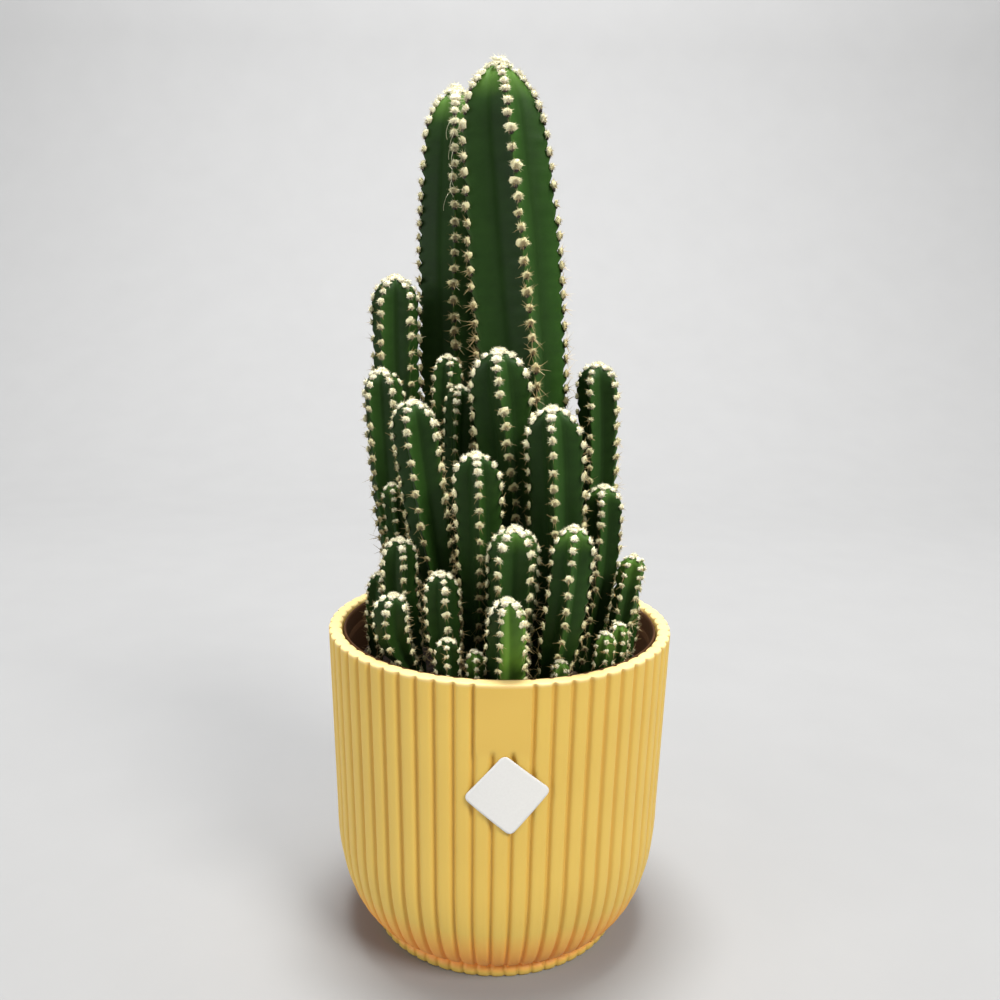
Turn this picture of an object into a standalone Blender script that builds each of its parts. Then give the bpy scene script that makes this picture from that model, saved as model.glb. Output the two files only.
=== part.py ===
"""Potted florida cereus in a ribbed cover pot.

Metres, +Z up. The origin is the centre of the pot's underside, and the
pot's plain panel and its label face -Y.
"""

import math

import bmesh
import bpy
import numpy as np

# Cover pot: wall, ribs, foot and rim
POT_HEIGHT = 0.0835
RIM_RADIUS = 0.0454
RIM_INNER_RADIUS = 0.0420
WALL_TAPER = 0.030
BOWL_TOP = 0.034
WAIST_RADIUS = 0.0322
WAIST_HEIGHT = 0.0032
FOOT_RADIUS = 0.0337
FOOT_HEIGHT = 0.0020
RIB_COUNT = 60
RIB_DEPTH = 0.0010
RIB_FACE = 0.55
PANEL_RIBS = 3
PANEL_BOTTOM = 0.0670
PANEL_WEDGE = 0.0018
POT_WALL = 0.0016
POT_FLOOR = 0.0024

# Label stuck on the front of the cover pot
LABEL_SIDE = 0.0147
LABEL_CORNER = 0.0015
LABEL_THICKNESS = 0.0003
LABEL_CENTRE = (0.0010, 0.0565)
LABEL_TURN = math.radians(50.0)
LABEL_GAP = 0.0003

# Nursery pot inside the cover pot
NURSERY_TOP = 0.0832
NURSERY_RIM_RADIUS = 0.0416
NURSERY_FOOT_RADIUS = 0.0295
NURSERY_BOTTOM = 0.0028
NURSERY_WALL = 0.0010
NURSERY_FLOOR = 0.0012
NURSERY_SIDES = 48

# Soil in the nursery pot
SOIL_TOP = 0.0718
SOIL_SWELL = 0.0007
SOIL_GAP = 0.0003
HOLE_BOTTOM = 0.0662
HOLE_CLEARANCE = 0.0004

# Stems
RIBS_PER_STEM = 5
STEM_FOOT = 0.0666
NECK_TOP = 0.0735
NECK_SHARE = 0.60
NECK_MOST = 0.0074
VALLEY_SHARE = 0.55
TAPER_ABOVE = 0.0090
TAPER_LENGTH = 0.0450
TAPER_SHARE = 0.26
AREOLE_SPACING = 0.0067
AREOLE_RISE = 0.0009
CREST_DIP = 0.0003
VALLEY_STEP = 0.0180
VALLEY_LEAST = 3
SPINE_LENGTH = 0.0032
SPINE_WIDTH = 0.00055
SPINE_LEAST = 0.00020
SPINE_LOWEST = 0.0870


def clear_scene():
    for item in list(bpy.data.objects):
        bpy.data.objects.remove(item, do_unlink=True)


def linear(value):
    return value / 12.92 if value <= 0.04045 else ((value + 0.055) / 1.055) ** 2.4


def colour(text):
    parts = [int(text[i:i + 2], 16) / 255.0 for i in (0, 2, 4)]
    return tuple(linear(p) for p in parts) + (1.0,)


def material(name, text, roughness):
    made = bpy.data.materials.new(name)
    made.use_nodes = True
    shader = made.node_tree.nodes["Principled BSDF"]
    shader.inputs["Base Color"].default_value = colour(text)
    shader.inputs["Roughness"].default_value = roughness
    shader.inputs["Metallic"].default_value = 0.0
    return made


def add_object(name, points, faces, surface, smooth=None):
    mesh = bpy.data.meshes.new(name)
    mesh.from_pydata([tuple(p) for p in points], [], faces)
    mesh.validate()
    work = bmesh.new()
    work.from_mesh(mesh)
    bmesh.ops.recalc_face_normals(work, faces=work.faces)
    work.to_mesh(mesh)
    work.free()
    if smooth is not None:
        mesh.shade_smooth()
        mesh.set_sharp_from_angle(angle=math.radians(smooth))
    mesh.materials.append(surface)
    made = bpy.data.objects.new(name, mesh)
    bpy.context.scene.collection.objects.link(made)
    return made


def on_circle(radius, angle, height):
    # The angle is measured from the front, -Y, towards +X.
    return (radius * math.sin(angle), -radius * math.cos(angle), height)


def bridge(faces, low, high):
    # Joins two closed rings; the low ring may have three points to each of the high.
    count = len(high)
    share = len(low) // count
    for i in range(count):
        j = (i + 1) % count
        for s in range(share):
            a = low[i * share + s]
            b = low[(i * share + s + 1) % len(low)]
            if s < share - 1:
                faces.append((a, b, high[i]))
            else:
                faces.append((a, b, high[j]))
                faces.append((a, high[j], high[i]))


class Rings:
    """Collects rings of points and the faces between them."""

    def __init__(self):
        self.points = []
        self.faces = []
        self.last = None

    def ring(self, points):
        start = len(self.points)
        self.points.extend(points)
        made = list(range(start, start + len(points)))
        if self.last is not None:
            if len(self.last) >= len(made):
                bridge(self.faces, self.last, made)
            else:
                bridge(self.faces, made, self.last)
        self.last = made
        return made

    def close(self, point):
        self.points.append(point)
        hub = len(self.points) - 1
        for i, a in enumerate(self.last):
            self.faces.append((a, self.last[(i + 1) % len(self.last)], hub))


def wall_radius(height):
    straight = RIM_RADIUS - WALL_TAPER * (POT_HEIGHT - height)
    if height >= BOWL_TOP:
        return straight
    top = RIM_RADIUS - WALL_TAPER * (POT_HEIGHT - BOWL_TOP)
    share = (BOWL_TOP - height) / (BOWL_TOP - WAIST_HEIGHT)
    share = min(max(share, 0.0), 1.0)
    return WAIST_RADIUS + (top - WAIST_RADIUS) * (1.0 - share ** 2.2) ** (1.0 / 1.8)


def rib_angles():
    # Each rib has its groove first, then the two edges of its broad face.
    pitch = 2.0 * math.pi / RIB_COUNT
    for k in range(RIB_COUNT):
        groove = (k + 0.5) * pitch
        centre = groove + 0.5 * pitch
        half = 0.5 * pitch * RIB_FACE
        yield groove, True
        yield centre - half, False
        yield centre + half, False


def in_panel(angle):
    half = PANEL_RIBS * math.pi / RIB_COUNT
    turned = (angle + math.pi) % (2.0 * math.pi) - math.pi
    return abs(turned) < half - 0.01


def ribbed_ring(radius, depth, height, panel):
    points = []
    for angle, groove in rib_angles():
        sunk = depth if groove and not (panel and in_panel(angle)) else 0.0
        points.append(on_circle(radius - sunk, angle, height))
    return points


def plain_ring(radius, height, sides, phase=0.0):
    return [on_circle(radius, phase + 2.0 * math.pi * i / sides, height)
            for i in range(sides)]


def build_cover_pot():
    pitch = 2.0 * math.pi / RIB_COUNT
    shape = Rings()
    shape.ring(plain_ring(0.0262, 0.0, RIB_COUNT, pitch))
    shape.ring(plain_ring(0.0274, 0.0011, RIB_COUNT, pitch))
    shape.ring(plain_ring(0.0303, 0.0011, RIB_COUNT, pitch))
    shape.ring(plain_ring(0.0313, 0.0, RIB_COUNT, pitch))
    shape.ring(ribbed_ring(FOOT_RADIUS, 0.0006, 0.0, False))
    shape.ring(ribbed_ring(FOOT_RADIUS + 0.0003, 0.0006, FOOT_HEIGHT, False))
    shape.ring(ribbed_ring(WAIST_RADIUS + 0.0002, 0.0003, WAIST_HEIGHT, False))
    for height in (0.0060, 0.0120, 0.0210):
        shape.ring(ribbed_ring(wall_radius(height), RIB_DEPTH * 0.8, height, False))
    shape.ring(ribbed_ring(wall_radius(BOWL_TOP), RIB_DEPTH, BOWL_TOP, False))
    low = PANEL_BOTTOM - PANEL_WEDGE
    shape.ring(ribbed_ring(wall_radius(low), RIB_DEPTH, low, False))
    shape.ring(ribbed_ring(wall_radius(PANEL_BOTTOM), RIB_DEPTH, PANEL_BOTTOM, True))
    edge = POT_HEIGHT - 0.0010
    shape.ring(ribbed_ring(wall_radius(edge), RIB_DEPTH, edge, True))
    shape.ring(ribbed_ring(RIM_RADIUS - 0.0009, RIB_DEPTH * 0.8, POT_HEIGHT, True))
    shape.ring(plain_ring(RIM_INNER_RADIUS, POT_HEIGHT - 0.0006, RIB_COUNT, pitch * 0.5))
    for height in (BOWL_TOP, 0.0165, 0.0060):
        radius = wall_radius(height) - RIB_DEPTH - POT_WALL
        shape.ring(plain_ring(radius, height + 0.0008, RIB_COUNT, pitch * 0.5))
    shape.ring(plain_ring(0.0304, POT_FLOOR, RIB_COUNT, pitch * 0.5))
    shape.close((0.0, 0.0, POT_FLOOR))
    first = list(range(RIB_COUNT))
    shape.points.append((0.0, 0.0, 0.0))
    hub = len(shape.points) - 1
    for i in first:
        shape.faces.append((first[(i + 1) % RIB_COUNT], i, hub))
    yellow = material("yellow_plastic", "DEBA60", 0.55)
    return add_object("cover_pot", shape.points, shape.faces, yellow, smooth=24.0)


def rounded_square(side, corner, steps):
    points = []
    half = side / 2.0 - corner
    for quarter in range(4):
        start = quarter * math.pi / 2.0
        x = half * (1.0 if quarter in (0, 3) else -1.0)
        y = half * (1.0 if quarter in (0, 1) else -1.0)
        for s in range(steps + 1):
            angle = start + s * math.pi / (2.0 * steps)
            points.append((x + corner * math.cos(angle), y + corner * math.sin(angle)))
    return points


def build_label():
    outline = rounded_square(LABEL_SIDE, LABEL_CORNER, 2)
    turn = LABEL_TURN
    rings = (1.0, 0.5)
    points = []
    for layer in (LABEL_GAP, LABEL_GAP + LABEL_THICKNESS):
        for size in rings:
            for x, y in outline:
                across = size * (x * math.cos(turn) - y * math.sin(turn))
                up = size * (x * math.sin(turn) + y * math.cos(turn))
                height = LABEL_CENTRE[1] + up
                radius = wall_radius(height) + layer
                angle = (LABEL_CENTRE[0] + across) / radius
                points.append(on_circle(radius, angle, height))
        radius = wall_radius(LABEL_CENTRE[1]) + layer
        points.append(on_circle(radius, LABEL_CENTRE[0] / radius, LABEL_CENTRE[1]))
    count = len(outline)
    layer_size = count * len(rings) + 1
    faces = []
    for layer in (0, 1):
        start = layer * layer_size
        for i in range(count):
            j = (i + 1) % count
            faces.append((start + i, start + j, start + count + j, start + count + i))
            faces.append((start + count + i, start + count + j, start + 2 * count))
    for i in range(count):
        j = (i + 1) % count
        faces.append((i, j, layer_size + j, layer_size + i))
    return add_object("label", points, faces, material("white_paper", "F0EEEA", 0.6))


def nursery_radius(height):
    share = (height - NURSERY_BOTTOM) / (NURSERY_TOP - NURSERY_BOTTOM)
    return NURSERY_FOOT_RADIUS + share * (0.0409 - NURSERY_FOOT_RADIUS)


def build_nursery_pot():
    sides = NURSERY_SIDES
    shape = Rings()
    shape.ring(plain_ring(NURSERY_FOOT_RADIUS, NURSERY_BOTTOM, sides))
    shape.ring(plain_ring(nursery_radius(0.0795), 0.0795, sides))
    shape.ring(plain_ring(NURSERY_RIM_RADIUS - 0.0002, 0.0800, sides))
    shape.ring(plain_ring(NURSERY_RIM_RADIUS, NURSERY_TOP - 0.0006, sides))
    shape.ring(plain_ring(NURSERY_RIM_RADIUS - 0.0006, NURSERY_TOP, sides))
    shape.ring(plain_ring(nursery_radius(NURSERY_TOP) - NURSERY_WALL, NURSERY_TOP - 0.0004, sides))
    floor = NURSERY_BOTTOM + NURSERY_FLOOR
    shape.ring(plain_ring(nursery_radius(floor) - NURSERY_WALL, floor, sides))
    shape.close((0.0, 0.0, floor))
    shape.points.append((0.0, 0.0, NURSERY_BOTTOM))
    hub = len(shape.points) - 1
    for i in range(sides):
        shape.faces.append(((i + 1) % sides, i, hub))
    brown = material("brown_plastic", "4A3826", 0.55)
    return add_object("nursery_pot", shape.points, shape.faces, brown, smooth=30.0)


def soil_height(x, y):
    wave = math.sin(230.0 * x + 1.3) * math.cos(210.0 * y - 0.6)
    wave += 0.5 * math.sin(410.0 * (x + y))
    return SOIL_TOP + SOIL_SWELL * wave * 0.6


def centre_line(stem, height):
    # A parabola in x and in y through the base, the middle and the tip.
    base, middle, tip = stem["base"], stem["middle"], stem["tip"]
    z0, z1, z2 = NECK_TOP, middle[2], tip[2]
    z = max(height, z0)
    w0 = (z - z1) * (z - z2) / ((z0 - z1) * (z0 - z2))
    w1 = (z - z0) * (z - z2) / ((z1 - z0) * (z1 - z2))
    w2 = (z - z0) * (z - z1) / ((z2 - z0) * (z2 - z1))
    return tuple(w0 * base[a] + w1 * middle[a] + w2 * tip[a] for a in (0, 1))


def neck_radius(stem):
    return min(stem["radius"] * NECK_SHARE, NECK_MOST)


def crest_radius(stem, height):
    neck = neck_radius(stem)
    rise = (height - NECK_TOP) / (stem["middle"][2] - NECK_TOP)
    rise = min(max(rise, 0.0), 1.0)
    grown = neck + (stem["radius"] - neck) * rise * rise * (3.0 - 2.0 * rise)
    if stem["radius"] > TAPER_ABOVE:
        # The tall stems narrow gently towards the tip before they round off.
        near = min(max(1.0 - (stem["tip"][2] - height) / TAPER_LENGTH, 0.0), 1.0)
        grown *= 1.0 - TAPER_SHARE * near ** 1.5
    dome = (stem["tip"][2] - height) / (1.3 * stem["radius"])
    dome = min(max(dome, 0.0), 1.0)
    return grown * math.sqrt(max(0.0, 1.0 - (1.0 - dome) ** 2))


def valley_radius(stem, height):
    crest = crest_radius(stem, height)
    fade = min(max((height - NECK_TOP) / 0.006, 0.0), 1.0)
    young = min(max((stem["tip"][2] - height) / (1.1 * stem["radius"]), 0.0), 1.0)
    share = VALLEY_SHARE + (0.80 - VALLEY_SHARE) * (1.0 - young)
    return crest * (1.0 + (share - 1.0) * fade)


def rib_turn(stem, height):
    top = stem["tip"][2]
    down = (top - max(height, NECK_TOP)) / (top - NECK_TOP)
    return math.radians(stem["turn"] + stem["twist"] * down)


def zip_lines(faces, left, right):
    # Fills the strip between two lines of (height, index), bottom to top.
    i = j = 0
    while i < len(left) - 1 or j < len(right) - 1:
        up_left = left[i + 1][0] if i < len(left) - 1 else math.inf
        up_right = right[j + 1][0] if j < len(right) - 1 else math.inf
        if up_left <= up_right:
            faces.append((left[i][1], right[j][1], left[i + 1][1]))
            i += 1
        else:
            faces.append((left[i][1], right[j][1], right[j + 1][1]))
            j += 1


def areole_heights(stem):
    top = stem["tip"][2]
    found = []
    below = 0.0011
    while top - below > NECK_TOP + 0.004:
        found.append(top - below)
        below += AREOLE_SPACING * (0.62 if len(found) < 4 else 1.0)
    return found[::-1]


def build_stem(name, stem, skin):
    points = []
    faces = []
    top = stem["tip"][2]
    areoles = areole_heights(stem)

    def put(angle, radius, height):
        x, y = centre_line(stem, height)
        dx, dy, _ = on_circle(radius, angle + rib_turn(stem, height), 0.0)
        points.append((x + dx, y + dy, height))
        return len(points) - 1

    steps = max(VALLEY_LEAST, round((top - NECK_TOP) / VALLEY_STEP))
    last = top - 0.30 * stem["radius"]
    valley_heights = [NECK_TOP + (last - NECK_TOP) * k / steps for k in range(steps + 1)]
    foot_ring = []
    neck_ring = []
    lines = []
    for k in range(2 * RIBS_PER_STEM):
        angle = k * math.pi / RIBS_PER_STEM
        foot_ring.append(put(angle, neck_radius(stem), STEM_FOOT))
        neck_ring.append(put(angle, neck_radius(stem), NECK_TOP))
        line = [(NECK_TOP, neck_ring[-1])]
        if k % 2 == 1:
            for height in valley_heights[1:]:
                line.append((height, put(angle, valley_radius(stem, height), height)))
        else:
            below = NECK_TOP
            for height in areoles:
                dip = 0.5 * (below + height)
                line.append((dip, put(angle, crest_radius(stem, dip) - CREST_DIP, dip)))
                reach = crest_radius(stem, height)
                rise = AREOLE_RISE * min(1.0, reach / 0.004)
                line.append((height, put(angle, reach + rise, height)))
                below = height
        lines.append(line)
    points.append((*centre_line(stem, top), top))
    tip = len(points) - 1
    points.append((*centre_line(stem, STEM_FOOT), STEM_FOOT))
    heel = len(points) - 1
    count = len(lines)
    for k in range(count):
        n = (k + 1) % count
        faces.append((foot_ring[n], foot_ring[k], heel))
        faces.append((foot_ring[k], foot_ring[n], neck_ring[n], neck_ring[k]))
        zip_lines(faces, lines[k], lines[n])
        faces.append((lines[k][-1][1], lines[n][-1][1], tip))
    add_spines(stem, points, faces, lines)
    return add_object(name, points, faces, skin, smooth=40.0)


def needle_seat(length, reach, drop):
    # Where along a face's edge a needle's base fits inside the face, and its width.
    # The face's third corner lies reach along the edge and drop inward from it.
    low = max(reach, 0.0) / drop
    high = max(length - reach, 0.0) / drop
    near, width = 0.0, 0.0
    for share in (0.32, 0.45, 0.60, 0.75):
        room = min(share * length / max(0.5 + 0.28 * low, 1.13 * low),
                   (1.0 - share) * length / max(0.5 + 0.28 * high, 1.13 * high))
        found = min(SPINE_WIDTH, 0.85 * room)
        if found > width + 1e-6:
            near, width = share * length, found
    return near, width


def add_spines(stem, points, faces, lines):
    # Raises a three-sided needle out of the face beside every few areoles.
    lookup = {}
    for number, face in enumerate(faces):
        if len(face) == 3:
            for k in range(3):
                pair = (face[k], face[(k + 1) % 3])
                lookup[pair] = number
    every = stem["spine_every"]
    counter = 0
    removed = set()
    added = []
    for k in range(0, len(lines), 2):
        line = lines[k]
        for step in range(2, len(line), 2):
            counter += 1
            if (counter + k) % every != 0 or line[step][0] < SPINE_LOWEST:
                continue
            peak, dip = line[step][1], line[step - 1][1]
            number = lookup.get((peak, dip) if counter % 2 else (dip, peak))
            if number is None or number in removed:
                continue
            face = faces[number]
            other = [p for p in face if p not in (peak, dip)][0]
            a, b, c = (np.array(points[p]) for p in (peak, dip, other))
            normal = np.cross(np.array(points[face[1]]) - np.array(points[face[0]]),
                              np.array(points[face[2]]) - np.array(points[face[0]]))
            normal /= np.linalg.norm(normal)
            along = (b - a) / np.linalg.norm(b - a)
            inward = np.cross(normal, along)
            if np.dot(inward, c - a) < 0.0:
                inward = -inward
            near, width = needle_seat(np.linalg.norm(b - a), np.dot(c - a, along),
                                      np.dot(c - a, inward))
            if width < SPINE_LEAST:
                continue
            root = a + along * near + inward * 0.28 * width
            corners = [root - along * 0.5 * width, root + along * 0.5 * width,
                       root + inward * 0.85 * width]
            x, y = centre_line(stem, line[step][0])
            outward = np.array([a[0] - x, a[1] - y, 0.0])
            outward /= max(np.linalg.norm(outward), 1e-6)
            side = np.cross(outward, np.array([0.0, 0.0, 1.0]))
            lean = 0.35 if np.dot(normal, side) > 0.0 else -0.35
            aim = outward + side * lean + np.array([0.0, 0.0, 0.35 - 0.25 * (counter % 3)])
            aim /= np.linalg.norm(aim)
            aim += normal * max(0.0, 0.5 - np.dot(aim, normal))
            aim /= np.linalg.norm(aim)
            corners.append(root + aim * SPINE_LENGTH)
            start = len(points)
            points.extend(tuple(p) for p in corners)
            p0, p1, p2, needle = start, start + 1, start + 2, start + 3
            removed.add(number)
            around = [(peak, dip, p1), (peak, p1, p0), (dip, other, p2), (dip, p2, p1),
                      (other, peak, p2), (peak, p0, p2),
                      (p0, p1, needle), (p1, p2, needle), (p2, p0, needle)]
            added.extend(around if counter % 2 else [f[::-1] for f in around])
    kept = [f for number, f in enumerate(faces) if number not in removed]
    faces[:] = kept + added


def stem_row(base, middle, tip, radius, turn, spine_every=11, twist=0):
    # Millimetres and degrees, as read from the photo. The ribs turn by twist from
    # the tip down to the soil.
    scale = 0.001
    return {
        "base": tuple(v * scale for v in base),
        "middle": tuple(v * scale for v in middle),
        "tip": tuple(v * scale for v in tip),
        "radius": radius * scale,
        "turn": turn,
        "twist": twist,
        "spine_every": spine_every,
    }


STEMS = {
    "stem_main": stem_row((10.5, 13), (3.3, 7.5, 160.5), (-2.4, 4.5, 225.5), 12.6, 5, 7, 24),
    "stem_back_tall": stem_row((-11, 20), (-13, 25.5, 159.5), (-13.3, 28, 222.5), 10.2, 0, 7),
    "stem_left_tall": stem_row((-21, 13), (-28.5, 14, 149), (-28.5, 12, 172.5), 6.4, -31),
    "stem_left_lean": stem_row((-24, 2), (-29.5, 2, 121), (-31, -1.5, 150), 5.2, -38),
    "stem_left_mid": stem_row((-12.5, -6), (-19, -14.5, 119.5), (-22, -19.5, 144), 5.8, -18),
    "stem_slot_back": stem_row((-14, 4.5), (-15, 4.5, 142), (-14.5, 3, 153.5), 3.8, 17),
    "stem_slot_front": stem_row((-6, -1), (-11.5, -3.5, 133), (-11, -5, 146.5), 3.5, -10, 13),
    "stem_centre": stem_row((2.5, -2.5), (0.5, -9, 123.5), (-1.5, -16, 156), 7.5, -12, 8, 60),
    "stem_right_mid": stem_row((11.5, -11.5), (13.2, -19.3, 115.5), (11, -24.5, 143.5), 6.9, -11, 8),
    "stem_right_tall": stem_row((22.5, 4.5), (25.8, 4.5, 118), (24.5, 4, 152), 5.6, -30),
    "stem_front_left": stem_row((-6.5, -13.5), (-6, -21, 113.5), (-7, -28, 133), 5.7, 3),
    "stem_right_lean": stem_row((22, -7), (26, -6.5, 102), (26, -7.5, 122), 4.8, -18),
    "stem_front_mid": stem_row((2, -19.5), (2.2, -27.5, 98), (2.2, -34, 117.5), 6.1, -34),
    "stem_front_right": stem_row((11.5, -25.3), (14, -30.4, 91), (16, -33.2, 117), 4.9, -4),
    "stem_left_low": stem_row((-21.5, -11.5), (-26, -15, 93.5), (-26, -21.5, 111), 4.4, 20),
    "stem_front_low": stem_row((-13, -23), (-14.5, -25, 89.5), (-15, -28.5, 104.5), 4.3, 18),
    "stem_left_front": stem_row((-20.5, -18.5), (-26.5, -24, 86), (-27, -28, 99), 4.3, -15),
    "stem_short_bright": stem_row((1, -28.5), (1, -37, 88.5), (0.5, -42.5, 102.5), 4.7, -10),
    "stem_right_edge": stem_row((28.5, -11.5), (31, -14.5, 91.5), (32.5, -16, 105), 3.3, -40),
    "stem_short_left": stem_row((-11.5, -32.5), (-13, -33, 82.5), (-13, -35, 90.5), 2.8, 0),
    "stem_short_right": stem_row((28, -20), (29, -21, 83), (29, -21, 90), 2.2, 20),
    "stem_short_far": stem_row((23, -26.5), (24.6, -27.5, 83), (24.8, -28, 90), 2.2, 0),
    "stem_tiny_left": stem_row((-6, -31), (-6.4, -33, 80), (-6.6, -34, 87.3), 2.1, 10),
    "stem_tiny_mid": stem_row((13, -33), (13.4, -34.6, 80), (13.6, -35.3, 85.5), 1.8, 30),
    "stem_left_thin": stem_row((-24, -5), (-27, -7, 110), (-28, -8, 122), 2.6, 5),
    "stem_rear_a": stem_row((-21.5, 27), (-25, 29.3, 116.5), (-27.8, 31.5, 142), 4.1, 150),
    "stem_rear_b": stem_row((-8.2, 31.6), (-9, 39, 129.5), (-9, 43.5, 168), 5.4, 185),
    "stem_rear_c": stem_row((7.5, 28), (7.5, 29.5, 143), (7.5, 30.5, 190), 6.4, 170, 8),
    "stem_rear_d": stem_row((21.5, 25), (21.5, 26, 108), (21.5, 26.5, 132), 5.4, 200),
    "stem_rear_e": stem_row((29.8, 16), (30, 16.8, 96), (30, 17.4, 112), 4.2, 110),
    "stem_left_edge": stem_row((-32.8, -3.5), (-32.4, -4, 87), (-31.7, -4, 97.5), 3.2, 232, 13),
    "stem_rear_f": stem_row((0.6, 33.8), (0.6, 37.4, 96), (0.8, 39, 112), 3.7, 175),
    "stem_rear_h": stem_row((15.5, 31), (16.5, 33, 92), (17, 35, 105), 3.0, 190),
    "stem_right_low": stem_row((34, -2), (34, -2, 84), (34, -2, 92), 3.0, 80),
    "stem_rear_i": stem_row((-28.5, 17), (-30, 18, 88), (-31, 19, 96), 3.3, 212, 13),
}


def build_soil():
    sides = NURSERY_SIDES
    inset = NURSERY_WALL + SOIL_GAP
    bottom = NURSERY_BOTTOM + NURSERY_FLOOR + SOIL_GAP
    shape = Rings()
    shape.ring(plain_ring(nursery_radius(bottom) - inset, bottom, sides))
    for share, count in ((1.0, sides), (0.72, sides // 3), (0.36, sides // 3)):
        points = []
        for x, y, _ in plain_ring((nursery_radius(SOIL_TOP) - inset) * share, 0.0, count):
            points.append((x, y, soil_height(x, y)))
        shape.ring(points)
    shape.close((0.0, 0.0, soil_height(0.0, 0.0)))
    shape.points.append((0.0, 0.0, bottom))
    hub = len(shape.points) - 1
    for i in range(sides):
        shape.faces.append(((i + 1) % sides, i, hub))
    soil = add_object("soil", shape.points, shape.faces, material("potting_soil", "3A2A1E", 0.95))

    points = []
    faces = []
    count = 2 * RIBS_PER_STEM
    for stem in STEMS.values():
        radius = neck_radius(stem) + HOLE_CLEARANCE / math.cos(math.pi / count)
        x, y = stem["base"]
        start = len(points)
        turn = rib_turn(stem, NECK_TOP)
        for height in (HOLE_BOTTOM, NECK_TOP + 0.003):
            for k in range(count):
                dx, dy, _ = on_circle(radius, turn + k * math.pi / RIBS_PER_STEM, 0.0)
                points.append((x + dx, y + dy, height))
        faces.append(tuple(range(start + count - 1, start - 1, -1)))
        faces.append(tuple(range(start + count, start + 2 * count)))
        for k in range(count):
            n = (k + 1) % count
            faces.append((start + k, start + n, start + count + n, start + count + k))
    cutter = add_object("soil_holes", points, faces, material("cutter", "808080", 0.9))
    cutter.hide_render = True
    cutter.display_type = "WIRE"
    cut = soil.modifiers.new("holes", "BOOLEAN")
    cut.operation = "DIFFERENCE"
    cut.solver = "EXACT"
    cut.object = cutter
    return soil


def build():
    clear_scene()
    build_cover_pot()
    build_label()
    build_nursery_pot()
    build_soil()
    dark = material("old_skin", "2F4526", 0.55)
    mid = material("green_skin", "3D5A2E", 0.55)
    young = material("young_skin", "63803A", 0.55)
    for name, stem in STEMS.items():
        height = stem["tip"][2]
        skin = dark if height > 0.19 else (mid if height > 0.115 else young)
        build_stem(name, stem, skin)


build()
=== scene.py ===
import math

import bmesh
import bpy
import numpy as np
from mathutils import Matrix


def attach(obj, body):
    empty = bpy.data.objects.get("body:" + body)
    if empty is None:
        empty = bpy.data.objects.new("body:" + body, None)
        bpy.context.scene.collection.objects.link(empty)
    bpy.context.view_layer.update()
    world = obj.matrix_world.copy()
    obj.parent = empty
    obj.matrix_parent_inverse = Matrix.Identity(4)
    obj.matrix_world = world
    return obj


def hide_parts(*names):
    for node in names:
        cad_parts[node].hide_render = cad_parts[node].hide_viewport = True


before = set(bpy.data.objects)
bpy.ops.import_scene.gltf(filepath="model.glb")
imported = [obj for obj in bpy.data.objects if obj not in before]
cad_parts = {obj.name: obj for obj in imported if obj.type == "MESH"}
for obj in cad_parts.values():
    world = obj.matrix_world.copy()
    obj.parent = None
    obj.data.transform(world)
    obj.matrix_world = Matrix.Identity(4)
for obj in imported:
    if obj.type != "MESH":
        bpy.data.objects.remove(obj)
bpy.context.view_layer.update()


# Camera. It stands a quarter of a metre in front of the pot and looks down on it
# by about twelve degrees, as the photo does. Its axes and place were solved from
# the ends of the rim, the foot and the corners of the label.
def placed(right, up, back, place):
    # The matrix of an object with these three axes that stands at this place.
    rows = [(right[k], up[k], back[k], place[k]) for k in range(3)]
    return Matrix(rows + [(0.0, 0.0, 0.0, 1.0)])


scene = bpy.context.scene
camera_data = bpy.data.cameras.new("camera")
camera_data.sensor_width = 36.0
camera_data.lens = 35.24
camera_data.clip_start = 0.01
camera = bpy.data.objects.new("camera", camera_data)
right = (0.99961244, -0.02294266, 0.01576742)
up = (-0.01080266, 0.20232666, 0.97925851)
back = (-0.02565696, -0.97904931, 0.2020004)
place = (-0.007026, -0.251771, 0.168451)
camera.matrix_world = placed(right, up, back, place)
scene.collection.objects.link(camera)
scene.camera = camera
scene.view_settings.view_transform = "Standard"


# Cover pot. The real one is injection moulded polypropylene in a mustard yellow,
# with sixty broad ribs, a small foot, and a plain panel three ribs wide in front.
# Its surface is finely matted, so that light falls softly along each rib.
POT_HEIGHT = 0.0835
RIM_RADIUS = 0.0454
RIM_INNER = 0.0420
WALL_TAPER = 0.030
WALL = 0.0025
BOWL_TOP = 0.034
WAIST_RADIUS = 0.0322
WAIST_HEIGHT = 0.0032
FOOT_RADIUS = 0.0337
RIBS = 60
RIB_PITCH = 2.0 * np.pi / RIBS
RIB_DEPTH = 0.00115
# A rib's top falls away by a quarter of its depth, and its flank by the rest.
FLAT_SHARE = 0.26
FLANK_START = 0.54
# The slope under the panel, and the panel's share of a groove's tone.
PANEL_BOTTOM = 0.0670
PANEL_EDGE = 0.0021
PANEL_TONE = 0.42


def linear(text):
    # An sRGB hex colour as linear values.
    out = []
    for k in (0, 2, 4):
        v = int(text[k:k + 2], 16) / 255.0
        out.append(v / 12.92 if v <= 0.04045 else ((v + 0.055) / 1.055) ** 2.4)
    return (*out, 1.0)


def node(tree, kind, settings=None, values=None, links=None):
    # Adds one node; links are (input name, node, output name).
    made = tree.nodes.new(kind)
    for key, value in (settings or {}).items():
        setattr(made, key, value)
    for key, value in (values or {}).items():
        made.inputs[key].default_value = value
    for key, source, output in (links or []):
        tree.links.new(source.outputs[output], made.inputs[key])
    return made


def new_material(name):
    # Also gives its tree, its shader and the link that lays a pattern on the piece.
    made = bpy.data.materials.new(name)
    made.use_nodes = True
    tree = made.node_tree
    on_piece = [("Vector", node(tree, "ShaderNodeTexCoord"), "Object")]
    return made, tree, tree.nodes["Principled BSDF"], on_piece


def plug(shader, name, source, output):
    shader.id_data.links.new(source.outputs[output], shader.inputs[name])


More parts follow.
